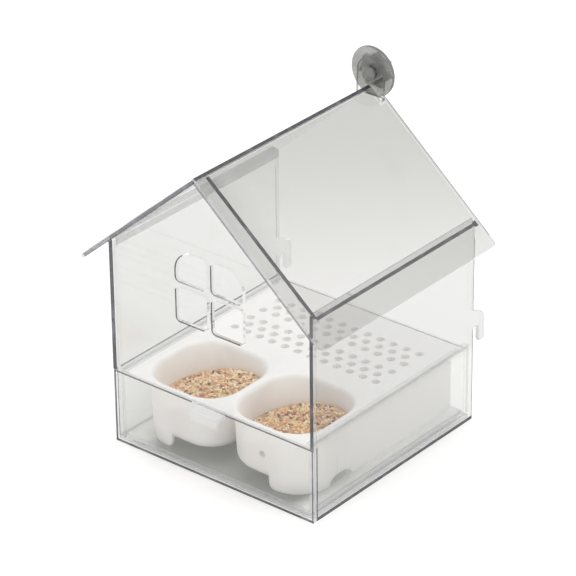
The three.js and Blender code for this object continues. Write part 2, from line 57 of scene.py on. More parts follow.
WIDE, DEEP, TALL = Vector((1.0, 0.0, 0.0)), Vector((0.0, 1.0, 0.0)), Vector((0.0, 0.0, 1.0))
HANDS = (1.0, -1.0)
WHITE = (1.0, 1.0, 1.0)
PLASTIC_IOR = 1.49
JOIN_DISTANCE = 2e-6
FLAT_DEGREES = 0.4
CREASE_DEGREES = 34.0
CORNER_DEGREES = 40.0


def tone(*levels: int) -> Colour:
    """The renderer's linear colour for display levels of 0 to 255."""
    shares = (level / 255 for level in levels)
    return tuple(share / 12.92 if share <= 0.04045 else ((share + 0.055) / 1.055) ** 2.4 for share in shares)


def math_node(operation: str, turned: bool = False) -> Callable[..., "Signal"]:
    """Makes a method of Signal that adds one Math node.

    Args:
        operation: what the node does.
        turned: whether the node takes its inputs in the opposite order.

    Returns:
        The method.
    """

    def method(self: "Signal", *others: "Signal | Number") -> "Signal":
        """Adds the node for this signal and the others."""
        values = (*others, self) if turned else (self, *others)
        return self.tree.add("ShaderNodeMath", dict(enumerate(values)), operation=operation)

    return method


class Signal:
    """One output socket, with arithmetic that adds Math nodes to its tree.

    below and above give 1 where it is under or over the other, else 0, and most gives the larger of the two.
    """

    __add__, __radd__ = math_node("ADD"), math_node("ADD", True)
    __sub__, __rsub__ = math_node("SUBTRACT"), math_node("SUBTRACT", True)
    __mul__, __rmul__ = math_node("MULTIPLY"), math_node("MULTIPLY", True)
    __pow__, __abs__ = math_node("POWER"), math_node("ABSOLUTE")
    below, above = math_node("LESS_THAN"), math_node("GREATER_THAN")
    most = math_node("MAXIMUM")

    def __init__(self, tree: "Tree", socket: NodeSocket) -> None:
        """Keeps the tree and the socket."""
        self.tree = tree
        self.socket = socket

    def ramp(self, low: float, high: float) -> "Signal":
        """0 below low and 1 above high, with a smooth step between."""
        feeds = {"Value": self, "From Min": low, "From Max": high}
        return self.tree.add("ShaderNodeMapRange", feeds, interpolation_type="SMOOTHSTEP")

    def step(self, limit: float, blur: float) -> "Signal":
        """0 before a limit and 1 past it, blurred by that much either way."""
        return self.ramp(limit - blur, limit + blur)


Feed = Union[Signal, Number, Sequence[float], str, Material, None]


class Tree:
    """Builds one node tree, for a material or for Geometry Nodes."""

    def __init__(self, nodes: NodeTree) -> None:
        """Keeps the tree."""
        self.nodes = nodes

    def raw(self, kind: str, feeds: dict | None = None, **settings: Setting) -> Node:
        """Adds a node.

        Args:
            kind: the node's type.
            feeds: value or link for each input socket, by name or by place.
            settings: values set on the node before its sockets are fed; stops fills a ramp.

        Returns:
            The node.
        """
        node = self.nodes.nodes.new(kind)
        for key, value in settings.items():
            if key == "stops":
                ramp = node.color_ramp
                while len(ramp.elements) < len(value):
                    ramp.elements.new(1.0)
                for element, (place, colour) in zip(ramp.elements, value):
                    element.position = place
                    element.color = (*colour, 1.0)
            else:
                setattr(node, key, value)
        for key, value in (feeds or {}).items():
            socket = node.inputs[key]
            for item in value if isinstance(value, list) else [value]:
                if isinstance(item, Signal):
                    self.nodes.links.new(item.socket, socket)
                elif item is not None:
                    if socket.type == "RGBA" and len(item) == 3:
                        item = (*item, 1.0)
                    socket.default_value = item
        return node

    def add(self, kind: str, feeds: dict | None = None, out: str | int = 0, **settings: Setting) -> Signal:
        """Adds a node as raw does and returns one of its outputs."""
        return Signal(self, self.raw(kind, feeds, **settings).outputs[out])

    def mix(self, factor: Feed, first: Feed, second: Feed, blend: str = "MIX") -> Signal:
        """Mixes two colours, the second by its factor."""
        feeds = {0: factor, 6: first, 7: second}
        return self.add("ShaderNodeMix", feeds, out=2, data_type="RGBA", blend_type=blend)

    def vector(self, operation: str, feeds: dict, out: str | int = 0) -> Signal:
        """Adds one Vector Math node."""
        return self.add("ShaderNodeVectorMath", feeds, out, operation=operation)

    def place(self) -> Signal:
        """Object coordinates."""
        return self.add("ShaderNodeTexCoord", out="Object")

    def parts(self, vector: Signal) -> tuple[Signal, Signal, Signal]:
        """The X, Y and Z of a vector."""
        split = self.raw("ShaderNodeSeparateXYZ", {0: vector})
        return tuple(Signal(self, split.outputs[axis]) for axis in range(3))

    def facing(self, axis: Sequence[float]) -> Signal:
        """How squarely a surface faces a unit vector of the row frame, either way, from 0 to 1."""
        normal = self.add("ShaderNodeTexCoord", out="Normal")
        return abs(self.vector("DOT_PRODUCT", {0: normal, 1: tuple(axis)}, "Value"))

    def path(self, name: str) -> Signal:
        """One output of the Light Path node, such as "Is Shadow Ray"."""
        return self.add("ShaderNodeLightPath", out=name)

    def soft(self) -> Signal:
        """1 for shadow rays and diffuse rays, else 0."""
        return self.path("Is Shadow Ray").most(self.path("Is Diffuse Ray"))

    def seen(self) -> Signal:
        """1 for rays that show the background: straight to the camera, or by mirror or clear plastic."""
        straight = self.path("Is Camera Ray").most(self.path("Is Glossy Ray"))
        return straight.most(self.path("Is Transmission Ray"))

    def stored(self, name: str) -> Signal:
        """A number that the mesh stores under this name."""
        return self.add("ShaderNodeAttribute", out="Fac", attribute_name=name)

    def noise(self, waves: float, octaves: float = 2.0) -> Signal:
        """Noise on Object coordinates, from 0 to 1, with that many waves in a metre."""
        return self.add("ShaderNodeTexNoise", {"Vector": self.place(), "Scale": waves, "Detail": octaves})

    def bump(self, height: Feed, depth: float, strength: float = 1.0) -> Signal:
        """Normal of a surface whose height of 1 is that depth in metres."""
        return self.add("ShaderNodeBump", {"Height": height, "Distance": depth, "Strength": strength})

    def plastic(self, feeds: dict[str, Feed]) -> Signal:
        """Principled shader with these inputs."""
        return self.add("ShaderNodeBsdfPrincipled", feeds)

    def clear(self, colour: Colour) -> Signal:
        """Straight passage of light, tinted by a colour."""
        return self.add("ShaderNodeBsdfTransparent", {"Color": colour})

    def blend(self, share: Feed, first: Signal, second: Signal) -> Signal:
        """Mixes two shaders, the second by its share."""
        return self.add("ShaderNodeMixShader", {0: share, 1: first, 2: second})


class Finish:
    """Base of the finishes: a named material whose tree a subclass fills."""

    name: str

    def fill(self, tree: Tree) -> Signal:
        """Fills the tree and returns its surface shader."""
        raise NotImplementedError

    def material(self) -> Material:
        """Makes the material, or finds it where it is already made.

        Returns:
            The material.
        """
        made = bpy.data.materials.get(self.name)
        if made is None:
            made = bpy.data.materials.new(self.name)
            made.use_nodes = True
            made.node_tree.nodes.clear()
            tree = Tree(made.node_tree)
            tree.raw("ShaderNodeOutputMaterial", {"Surface": self.fill(tree)})
        return made


class Facing(Enum):
    """The way a clear sheet's broad faces look."""

    SIDE = (1.0, 0.0, 0.0)
    FRONT = (0.0, 1.0, 0.0)
    LEVEL = (0.0, 0.0, 1.0)
    LEFT_SLOPE = (-0.652, 0.0, 0.758)
    RIGHT_SLOPE = (0.652, 0.0, 0.758)


@dataclass(frozen=True)
class Arris(Finish):
    """Narrow flat along a sheet's corner, coloured as a painted dark reflection that shows as a thin line."""

    name: str
    share: float
    behind: float = 0.4
    dark: Colour = (0.1, 0.104, 0.122)
    pale: Colour = (0.26, 0.265, 0.3)
    passing: Colour = (0.97, 0.97, 0.975)
    waves: float = 110.0
    patches: Span = (0.4, 0.8)

    def fill(self, tree: Tree) -> Signal:
        """Fills a painted dark reflection as a line that breaks up a little, and is faint where it lies
        behind another sheet.

        Args:
            tree: the material's tree.

        Returns:
            The shader.
        """
        run = tree.noise(self.waves).ramp(*self.patches)
        line = tree.plastic({"Base Color": tree.mix(run, self.dark, self.pale), "Roughness": 0.25})
        share = (1.0 - tree.path("Is Transmission Ray") * (1.0 - self.behind)) * self.share
        return tree.blend(share * (1.0 - tree.soft()), tree.clear(self.passing), line)


@dataclass(frozen=True)
class Shade:
    """Painted shade of the bowls over the front of a level sheet, with blurred edges."""

    colour: Colour = (0.7, 0.71, 0.675)
    left: float = -0.052
    right: float = 0.062
    back: float = -0.022
    side_blur: float = 0.008
    back_blur: float = 0.012

    def share(self, across: Signal, depth: Signal) -> Signal:
        """How much of the painted shade lies on a place, by its X and Y, from 0 to 1."""
        before = (1.0 - depth.step(self.back, self.back_blur)) * across.step(self.left, self.side_blur)
        return before * (1.0 - across.step(self.right, self.side_blur))


@dataclass(frozen=True)
class ClearSheet(Finish):
    """Clear sheet plastic with cool pale cut edges, faint smudges and a slight wave.

    The tint runs from low_tint to high_tint between the heights low and high, sooner at the back by climb.
    The body hardly bends light, so that what lies behind stays in place, and the coat gives the gloss. The
    sheet is frosted in front of frost_front, or by rest_frost wherever the painted shade doesn't lie.
    """

    name: str
    facing: Facing
    low_tint: Colour
    high_tint: Colour
    low: float = 0.0
    high: float = 0.132
    climb: float = 0.0
    edge: Colour = (0.56, 0.56, 0.625)
    edge_share: float = 0.4
    edge_behind: float = 0.08
    edge_facing: Span = (0.55, 0.75)
    shade: Shade | None = None
    frost_front: float | None = None
    front_frost: float = 0.46
    rest_frost: float = 0.0
    arris: Arris = Arris("faint_arris", 0.08)
    arris_mm: float = 0.3
    frost_pale: Colour = (0.86, 0.86, 0.855)
    frost_dull: Colour = (0.8, 0.8, 0.795)
    frost_bounce: float = 1.5
    body_ior: float = 1.04
    smudge_waves: float = 38.0
    smudges: Span = (0.56, 0.78)
    wave_depth: float = 0.0001
    passing: Colour = (0.985, 0.986, 0.983)

    def fill(self, tree: Tree) -> Signal:
        """Mixes the clear body, the cut edge, any frosting and the plain passage of soft light.

        Args:
            tree: the material's tree.

        Returns:
            The shader.
        """
        across, depth, height = tree.parts(tree.place())
        climbed = (depth * self.climb + height).ramp(self.low, self.high)
        tint = tree.mix(climbed, self.low_tint, self.high_tint)
        shaded = self.shade.share(across, depth) if self.shade else None
        # Painted shade of the bowls darkens the tint where the shade lies
        if self.shade:
            tint = tree.mix(shaded, tint, self.shade.colour)
        smudge = tree.noise(self.smudge_waves, 3.0).ramp(*self.smudges)
        clear = tree.plastic({
            "Base Color": tree.mix(smudge * 0.03, tint, (0.0, 0.0, 0.0)),
            "Roughness": smudge * 0.04 + 0.01,
            "Transmission Weight": 1.0,
            "IOR": self.body_ior,
            "Coat Weight": 1.0,
            "Coat Roughness": 0.02,
            "Coat IOR": PLASTIC_IOR,
            "Normal": tree.bump(tree.noise(9.0, 1.0), self.wave_depth),
        })
        sawn = tree.plastic({"Base Color": self.edge, "Roughness": 0.3, "Coat Weight": 0.5})
        cut = 1.0 - tree.facing(self.facing.value).ramp(*self.edge_facing)
        fainter = tree.path("Is Transmission Ray") * (self.edge_share - self.edge_behind)
        solid = tree.blend(cut * (self.edge_share - fainter), clear, sawn)
        frost = bounced = 0.0
        if self.frost_front is not None:
            frost = depth.below(self.frost_front) * self.front_frost
        elif self.rest_frost:
            frost = (1.0 - shaded) * self.rest_frost
        if frost:
            colour = tree.mix(smudge, self.frost_pale, self.frost_dull)
            solid = tree.blend(frost, solid, tree.plastic({"Base Color": colour, "Roughness": 0.45}))
            bounced = frost * self.frost_bounce
        soft = tree.path("Is Shadow Ray").most(tree.path("Is Diffuse Ray") * (1.0 - bounced))
        return tree.blend(soft, solid, tree.clear(self.passing))


@dataclass(frozen=True)
class GlueAndEdgeReflection(Finish):
    """Dark, slightly cloudy line, as strong as each strip's own tone: solvent in the glued joints, and
    painted dark reflections along the sheets' cut edges.
    """

    name: str = "glue_and_edge_reflection"
    dark: Colour = (0.06, 0.062, 0.072)
    pale: Colour = (0.17, 0.175, 0.2)
    waves: float = 90.0
    gaps: Span = (0.5, 0.8)
    gap_loss: float = 0.25
    soft_loss: float = 0.9

    def fill(self, tree: Tree) -> Signal:
        """Fills a line with paler stretches along it.

        Args:
            tree: the material's tree.

        Returns:
            The shader.
        """
        gap = tree.noise(self.waves).ramp(*self.gaps)
        colour = tree.mix(gap, self.dark, self.pale)
        line = tree.plastic({"Base Color": colour, "Roughness": gap * 0.2 + 0.3})
        share = tree.stored("seam_tone") * (1.0 - gap * self.gap_loss) * (1.0 - tree.soft() * self.soft_loss)
        return tree.blend(share, tree.clear(WHITE), line)


@dataclass(frozen=True)
class SmokyMoulding(Finish):
    """Smoky translucent moulded plastic of the clamp's round pieces."""

    name: str
    tint: Colour
    clearness: float
    roughness: float = 0.12
    flow_waves: float = 120.0
    flow_darkness: float = 0.82
    skin_waves: float = 700.0
    skin_depth: float = 0.00003
    soft_share: float = 0.6

    def fill(self, tree: Tree) -> Signal:
        """Fills a tinted, slightly flowing moulded plastic.

        Args:
            tree: the material's tree.

        Returns:
            The shader.
        """
        flow = tree.noise(self.flow_waves)
        dark = tuple(self.flow_darkness * level for level in self.tint)
        body = tree.plastic({
            "Base Color": tree.mix(flow.ramp(0.35, 0.7), self.tint, dark),
            "Roughness": flow * 0.06 + self.roughness,
            "Transmission Weight": self.clearness,
            "IOR": PLASTIC_IOR,
            "Normal": tree.bump(tree.noise(self.skin_waves), self.skin_depth),
        })
        return tree.blend(tree.soft() * (self.soft_share * self.clearness), body, tree.clear(self.tint))


@dataclass(frozen=True)
class WhiteMoulding(Finish):
    """Satin white moulded plastic with a fine spark-eroded grain, thin enough to let some light through.

    Level faces and the plate round the grate have the upper colour, painted light, and the other faces the
    darker colour, painted shade. Painted shade darkens the dimple, which lies at an X and a Z of the front.
    Soft light passes by the passing share, and by plate_passing on the plate.
    """

    name: str
    # White of the plastic: darker as painted shade on faces that aren't level (colour), lighter as painted
    # light on level faces and the plate (upper)
    colour: Colour = tone(239, 236, 233)
    upper: Colour = tone(253, 250, 248)
    warm: Colour = (0.6, 0.5, 0.4)
    grate_front: float = -0.004
    grate_foot: float = 0.043
    painted_light_facing: Span = (0.7, 0.95)
    dimple: Span = (0.0323, 0.0273)
    dimple_reach: float = 0.006
    dimple_edge: Span = (0.0012, 0.0028)
    dimple_shade_colour: Colour = (0.3, 0.29, 0.29)
    dimple_shade_share: float = 0.6
    grain_waves: float = 1500.0
    grain_depth: float = 0.00002
    passing: float = 0.85
    plate_passing: float = 0.99
    passing_tint: Colour = (0.985, 0.982, 0.978)

    def fill(self, tree: Tree) -> Signal:
        """Fills a pale plastic that varies a little in tone and gloss, with painted light on level faces and
        painted shade in the dimple.

        Args:
            tree: the material's tree.

        Returns:
            The shader.
        """
        cloud = tree.noise(26.0, 3.0).ramp(0.3, 0.75)
        grain = tree.noise(self.grain_waves)
        across, depth, height = tree.parts(tree.place())
        plate = depth.above(self.grate_front) * height.above(self.grate_foot)
        # Painted light: level faces and the plate take the upper colour, the other faces keep the darker
        # colour as painted shade
        flat = tree.facing(TALL).ramp(*self.painted_light_facing)
        body = tree.mix(flat.most(plate), self.colour, self.upper)
        # Painted shade in the dimple on the bowl's front
        middle, level = self.dimple
        away = ((across - middle) ** 2 + (height - level) ** 2) ** 0.5
        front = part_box("feeding_insert")[0].y
        dimple_painted_shade = (1.0 - away.ramp(*self.dimple_edge)) * depth.below(front + self.dimple_reach)
        clouded = tree.mix(cloud * 0.03, body, self.warm)
        moulded = tree.plastic({
            "Base Color": tree.mix(dimple_painted_shade * self.dimple_shade_share, clouded, self.dimple_shade_colour),
            "Roughness": cloud * 0.08 + grain * 0.06 + 0.38,
            "Subsurface Weight": 0.5,
            "Subsurface Radius": (0.01, 0.0092, 0.0086),
            "Subsurface Scale": 1.0,
            "Normal": tree.bump(grain, self.grain_depth, 0.6),
        })
        passing = plate * (self.plate_passing - self.passing) + self.passing
        return tree.blend(tree.soft() * passing, moulded, tree.clear(self.passing_tint))


@dataclass(frozen=True)
class SeedHusk(Finish):
    """Dry husks whose colour runs with each grain's own tone."""

    name: str
    stops: tuple[tuple[float, Colour], ...]
    streak_waves: float = 2600.0
    streak_colour: Colour = (0.28, 0.15, 0.07)
    streak_depth: float = 0.0001

    def fill(self, tree: Tree) -> Signal:
        """Colours each grain by its stored tone, with fine streaks along the husk.

        Args:
            tree: the material's tree.

        Returns:
            The shader.
        """
        own = tree.stored("grain_tone")
        husk = tree.add("ShaderNodeValToRGB", {0: own}, out="Color", stops=self.stops)
        streak = tree.noise(self.streak_waves)
        return tree.plastic({
            "Base Color": tree.mix(streak * 0.3, husk, self.streak_colour, "MULTIPLY"),
            "Roughness": streak * 0.2 + 0.42,
            "Normal": tree.bump(streak, self.streak_depth, 0.5),
        })


@dataclass(frozen=True)
class PaleFloor(Finish):
    """Plain studio floor: white to the camera and to clear plastic, with the object's shadow kept."""

    name: str
    colour: Colour = (0.84, 0.84, 0.83)
    lift: float = 0.22

    def fill(self, tree: Tree) -> Signal:
        """Adds a little light of its own for the rays that show the background.

        Args:
            tree: the material's tree.

        Returns:
            The shader.
        """
        matt = tree.add("ShaderNodeBsdfDiffuse", {"Color": self.colour})
        glow = tree.add("ShaderNodeEmission", {"Color": WHITE, "Strength": tree.seen() * self.lift})
        return tree.add("ShaderNodeAddShader", {0: matt, 1: glow})


class Palette:
    """The finishes, each made once."""

    WASHER = SmokyMoulding("smoky_washer", tone(190, 191, 188), 0.66)
    KNOB = SmokyMoulding("smoky_knob", tone(104, 105, 103), 0.25)
    BOLT = SmokyMoulding("smoky_bolt", tone(150, 151, 146), 0.3, 0.06)
    GRAIN = SeedHusk("seed_husk", (
        (0.00, tone(92, 54, 34)),
        (0.10, tone(160, 98, 58)),
        (0.20, tone(238, 174, 116)),
        (0.50, tone(255, 226, 176)),
        (0.68, tone(232, 220, 146)),
        (0.82, tone(255, 250, 228)),
        (1.00, tone(232, 156, 120)),
    ))
    BED = SeedHusk("seed_bed", ((0.0, tone(206, 158, 112)), (1.0, tone(226, 182, 132))))
    FLOOR = PaleFloor("pale_floor")
    # Dark lines: solvent in the glued joints, and painted dark reflections along cut edges
    GLUE_AND_EDGE_REFLECTION = GlueAndEdgeReflection()
    INSERT = WhiteMoulding("white_moulding")
    CLEAR, THIN, LEVEL = (0.925, 0.927, 0.92), (0.975, 0.977, 0.97), (0.93, 0.935, 0.92)
    GABLE = ClearSheet("gable_sheet", Facing.FRONT, CLEAR, CLEAR, edge_share=0.14)
    RAIL = ClearSheet("rail_sheet", Facing.LEVEL, CLEAR, CLEAR, edge_share=0.1, arris_mm=0.2)
    # The near side is clearest beside the drawer, and the far side is greyer over its front and foot
    NEAR_SIDE = ClearSheet(
        "side_sheet", Facing.SIDE, (0.865, 0.868, 0.862), (0.745, 0.748, 0.74),
        low=0.044, high=0.053, arris=Arris("sheet_arris", 0.3),
    )
    FAR_SIDE = ClearSheet(
        "far_side_sheet", Facing.SIDE, (0.75, 0.753, 0.742), (0.95, 0.952, 0.945),
        low=0.125, high=0.185, climb=1.3,
    )
    # The tab is smoky round its head, and the roof is greyer towards the ridge
    TAB = ClearSheet(
        "tab_sheet", Facing.FRONT, (0.885, 0.888, 0.878), (0.72, 0.72, 0.705),
        low=0.1965, high=0.2005, edge=(0.16, 0.16, 0.165), edge_share=0.6, edge_behind=0.6,
        arris=Arris("tab_arris", 0.6, behind=0.8),
    )
    ROOF = {"low": 0.11, "high": 0.205, "climb": 0.25, "edge_share": 0.3, "arris": Arris("roof_arris", 0.14)}
    ROOF_TINTS = (0.755, 0.75, 0.74), (0.55, 0.55, 0.535)
    ROOF_LEFT = ClearSheet("roof_left_sheet", Facing.LEFT_SLOPE, *ROOF_TINTS, **ROOF)
    ROOF_RIGHT = ClearSheet("roof_right_sheet", Facing.RIGHT_SLOPE, *ROOF_TINTS, **ROOF)
    # The floor sheets carry painted shade of the bowls, and the finger pull in front of the drawer is frosted
    SHADED = {"edge_behind": 0.4, "shade": Shade()}
    FOOT = ClearSheet("floor_sheet", Facing.LEVEL, LEVEL, LEVEL, **SHADED)
    DRAWER_FLOOR = ClearSheet(
        "drawer_floor_sheet", Facing.LEVEL, LEVEL, LEVEL, **SHADED, rest_frost=0.6, arris_mm=0.2
    )
    DRAWER_FRONT = ClearSheet(
        "drawer_front_sheet", Facing.FRONT, THIN, THIN, edge_share=0.4, edge_behind=0.1, frost_front=-0.0758
    )
    DRAWER_SIDE = ClearSheet("drawer_side_sheet", Facing.SIDE, THIN, THIN, edge_share=0.22, edge_behind=0.3)
    DRAWER_BACK = ClearSheet("drawer_back_sheet", Facing.FRONT, THIN, THIN, edge_share=0.1, edge_behind=0.08)


class Line(Enum):
    """The kinds of dark line, at glued joints and as painted edge reflections, each with its width in
    millimetres and its tone from 0 to 1.
    """

    RIDGE = (1.8, 0.8)
    GABLE_NEAR = (2.5, 0.82)
    GABLE_FAR = (2.5, 0.12)
    VERGE_NEAR = (1.2, 0.42)
    VERGE_FAR_TOP = (2.3, 1.0)
    VERGE_FAR_MIDDLE = (2.3, 0.85)
    VERGE_FAR_LOW = (2.3, 0.5)
    VERGE_REAR = (0.6, 0.28)
    EAVE = (2.1, 0.8)
    EAVE_END = (3.6, 0.75)
    OVER_EAVE = (0.5, 0.28)
    FAR_WALL_TOP = (6.0, 0.18)
    CORNER_NEAR = (2.3, 0.74)
    CORNER_FAR = (2.8, 0.74)
    WALL_FRONT = (0.8, 0.45)
    FOOT_NEAR = (2.2, 0.75)
    FOOT_FAR = (2.2, 0.1)
    REAR_NEAR = (0.6, 0.36)
    REAR_FAR = (0.6, 0.16)
    RAIL_NEAR = (0.8, 0.1)
    RAIL_FAR = (0.8, 0.5)
    DRAWER_TOP = (0.8, 0.6)
    DRAWER_FOOT = (1.5, 0.7)
    DRAWER_BACK = (0.7, 0.3)
    DRAWER_END_NEAR = (0.8, 0.5)
    DRAWER_END_FAR = (1.3, 0.6)


@dataclass
class Seam:
    """One straight dark line, glued joint and painted edge reflection alike: its ends, its width as a vector,
    and how dark it is.
    """

    start: Vector
    end: Vector
    across: Vector
    tone: float

    @classmethod
    def of(cls, kind: Line, side: Vector, start: Vector, end: Vector) -> "Seam":
        """One kind of line, with the unit vector across it and its two ends."""
        width_mm, shade = kind.value
        return cls(start, end, side * width_mm * MM, shade)


def new_group(name: str, inputs: dict[str, Number | None], output: str) -> tuple[Tree, list[Signal]]:
    """Starts a Geometry Nodes tree with named inputs.

    Args:
        name: the tree's name.
        inputs: each input's name and default value, which is None for a mesh.
        output: the name of its mesh output.

    Returns:
        The tree, and its inputs in order.
    """
    group = bpy.data.node_groups.new(name, "GeometryNodeTree")
    kinds = {type(None): "NodeSocketGeometry", float: "NodeSocketFloat", int: "NodeSocketInt"}
    for label, value in inputs.items():
        socket = group.interface.new_socket(label, in_out="INPUT", socket_type=kinds[type(value)])
        if value is not None:
            socket.default_value = value
    group.interface.new_socket(output, in_out="OUTPUT", socket_type="NodeSocketGeometry")
    tree = Tree(group)
    given = tree.raw("NodeGroupInput")
    return tree, [Signal(tree, given.outputs[place]) for place in range(len(inputs))]


def grown(made: Object, group: NodeTree, given: dict[str, Number]) -> Mesh:
    """Runs a Geometry Nodes tree on an object and makes the result a plain mesh.

    Args:
        made: the object, which is left without the modifier.
        group: the tree.
        given: values for the tree's inputs, by name.

    Returns:
        The mesh.
    """
    maker = made.modifiers.new(group.name, "NODES")
    maker.node_group = group
    for item in group.interface.items_tree:
        if item.item_type == "SOCKET" and item.in_out == "INPUT" and item.name in given:
            maker[item.identifier] = given[item.name]
    view = bpy.context.evaluated_depsgraph_get()
    mesh = bpy.data.meshes.new_from_object(made.evaluated_get(view), depsgraph=view)
    made.modifiers.remove(maker)
    return mesh


def put(name: str, data: ID) -> Object:
    """Makes an object and links it to the scene.

    Args:
        name: the object's name.
        data: its mesh, lamp or camera.

    Returns:
        The object.
    """
    made = bpy.data.objects.new(name, data)
    bpy.context.scene.collection.objects.link(made)
    return made


@dataclass
class SeamLines:
    """Geometry Nodes tree that lays a thin flat strip along each dark line: glued joints, and painted edge
    reflections on cut edges.
    """

    thickness_mm: float = 0.2

    def tree(self, line_material: Material) -> NodeTree:
        """Builds the tree.

        Args:
            line_material: the strips' material.

        Returns:
            The node group.
        """
        thickness_m = self.thickness_mm * MM
        tree, inputs = new_group("seam_lines", {"Seams": None, "Thickness": thickness_m}, "Strips")
        seams, thickness = inputs
        extent, turn = (
            tree.add("GeometryNodeInputNamedAttribute", {"Name": own}, data_type="FLOAT_VECTOR")
            for own in ("seam_extent", "seam_turn")
        )
        length, width, _ = tree.parts(extent)
        size = tree.add("ShaderNodeCombineXYZ", {"X": length, "Y": width, "Z": thickness})
        strip = tree.add("GeometryNodeMeshCube", {"Size": (1.0, 1.0, 1.0)})
        placed = tree.add("GeometryNodeInstanceOnPoints", {
            "Points": seams, "Instance": strip, "Rotation": turn, "Scale": size,
        })
        real = tree.add("GeometryNodeRealizeInstances", {0: placed})
        dressed = tree.add("GeometryNodeSetMaterial", {"Geometry": real, "Material": line_material})
        tree.raw("NodeGroupOutput", {0: dressed})
        return tree.nodes

    def lay(self, name: str, seams: Sequence[Seam], line_material: Material) -> Mesh:
        """Lays the strips as one plain mesh.

        Args:
            name: the mesh's name.
            seams: the lines.
            line_material: the strips' material.

        Returns:
            The mesh.
        """
        marks = bpy.data.meshes.new(name)
        marks.from_pydata([(seam.start + seam.end) / 2 for seam in seams], [], [])
        kinds = {"seam_extent": "FLOAT_VECTOR", "seam_turn": "FLOAT_VECTOR", "seam_tone": "FLOAT"}
        for own, kind in kinds.items():
            marks.attributes.new(own, kind, "POINT")
        extent, turn, tones = (marks.attributes[own] for own in kinds)
        for place, seam in enumerate(seams):
            along, side = (seam.end - seam.start).normalized(), seam.across.normalized()
            axes = Matrix((along, side, along.cross(side))).transposed()
            extent.data[place].vector = ((seam.end - seam.start).length, seam.across.length, 1.0)
            turn.data[place].vector = axes.to_euler()
            tones.data[place].value = seam.tone
        holder = put(name, marks)
        strips = grown(holder, self.tree(line_material), {"Thickness": self.thickness_mm * MM})
        bpy.data.objects.remove(holder)
        return strips


class Assembly:
    """Base of the sub-assemblies: adds pieces on one body."""

    body: str
    slot: str

    def build(self) -> None:
        """Makes the pieces."""
        raise NotImplementedError

    def welded(self, node: str, crease: float = CREASE_DEGREES) -> BMesh:
        """Copies a CAD node's mesh with its corners joined and its flat faces whole.

        Args:
            node: the node's name.
            crease: angle in degrees over which an edge stays sharp.

        Returns:
            The joined mesh.
        """
        shape = bmesh.new()
        shape.from_mesh(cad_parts[node].data)
        bmesh.ops.remove_doubles(shape, verts=shape.verts, dist=JOIN_DISTANCE)
        flat = math.radians(FLAT_DEGREES)
        bmesh.ops.dissolve_limit(shape, angle_limit=flat, verts=shape.verts, edges=shape.edges)
        for face in shape.faces:
            face.smooth = True
        for edge in shape.edges:
            edge.smooth = len(edge.link_faces) == 2 and edge.calc_face_angle(0.0) < math.radians(crease)
        return shape

    def riding(self, name: str, mesh: Mesh) -> Object:
        """Makes a piece of a mesh that rides on this body.

        Args:
            name: the piece's name.
            mesh: its mesh, in the row frame.

        Returns:
            The piece's object.
        """
        made = put(name, mesh)
        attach(made, self.body)
        LOG.info("made %s on %s with %d faces", name, self.body, len(mesh.polygons))
        return made

    def piece(self, node: str, name: str, finish: Finish, crease: float = CREASE_DEGREES) -> Object:
        """Makes a piece of a CAD node's joined mesh.

        Args:
            node: the node's name.
            name: the piece's name.
            finish: its finish.
            crease: angle in degrees over which an edge stays sharp.

        Returns:
            The piece's object.
        """
        mesh = bpy.data.meshes.new(name)
        shape = self.welded(node, crease)
        shape.to_mesh(mesh)
        shape.free()
        mesh.materials.append(finish.material())
        return self.riding(name, mesh)

    def refined(
        self, node: str, name: str, finish: Finish, edge_mm: float = 0.0, arris: Finish | None = None
    ) -> None:
        """Replaces a CAD node with its own shape, smoothed and with its corners taken back.

        Args:
            node: the node that is replaced.
            name: the piece's name.
            finish: its finish.
            edge_mm: how far each corner is taken back, if it is.
            arris: the finish of one flat along each corner; without it, corners are rounded in two steps.
        """
        made = self.piece(node, name, finish)
        if edge_mm:
            soften = made.modifiers.new("softened_edges", "BEVEL")
            soften.width = edge_mm * MM
            soften.segments = 1 if arris else 2
            soften.limit_method = "ANGLE"
            soften.angle_limit = math.radians(CORNER_DEGREES)
            if arris:
                made.data.materials.append(arris.material())
                soften.material = 1
        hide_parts(node)

    def sheets(self, finishes: dict[str, ClearSheet]) -> None:
        """Replaces CAD sheets, each by its node's name, with sheets of that finish and its arris."""
        for node, finish in finishes.items():
            self.refined(node, f"{node}_sheet", finish, finish.arris_mm, finish.arris)

    def strips(self, name: str, seams: Sequence[Seam]) -> None:
        """Lays the dark lines on this body, glued joints and painted edge reflections, as one piece of this
        name.
        """
        self.riding(name, SeamLines().lay(name, seams, Palette.GLUE_AND_EDGE_REFLECTION.material()))


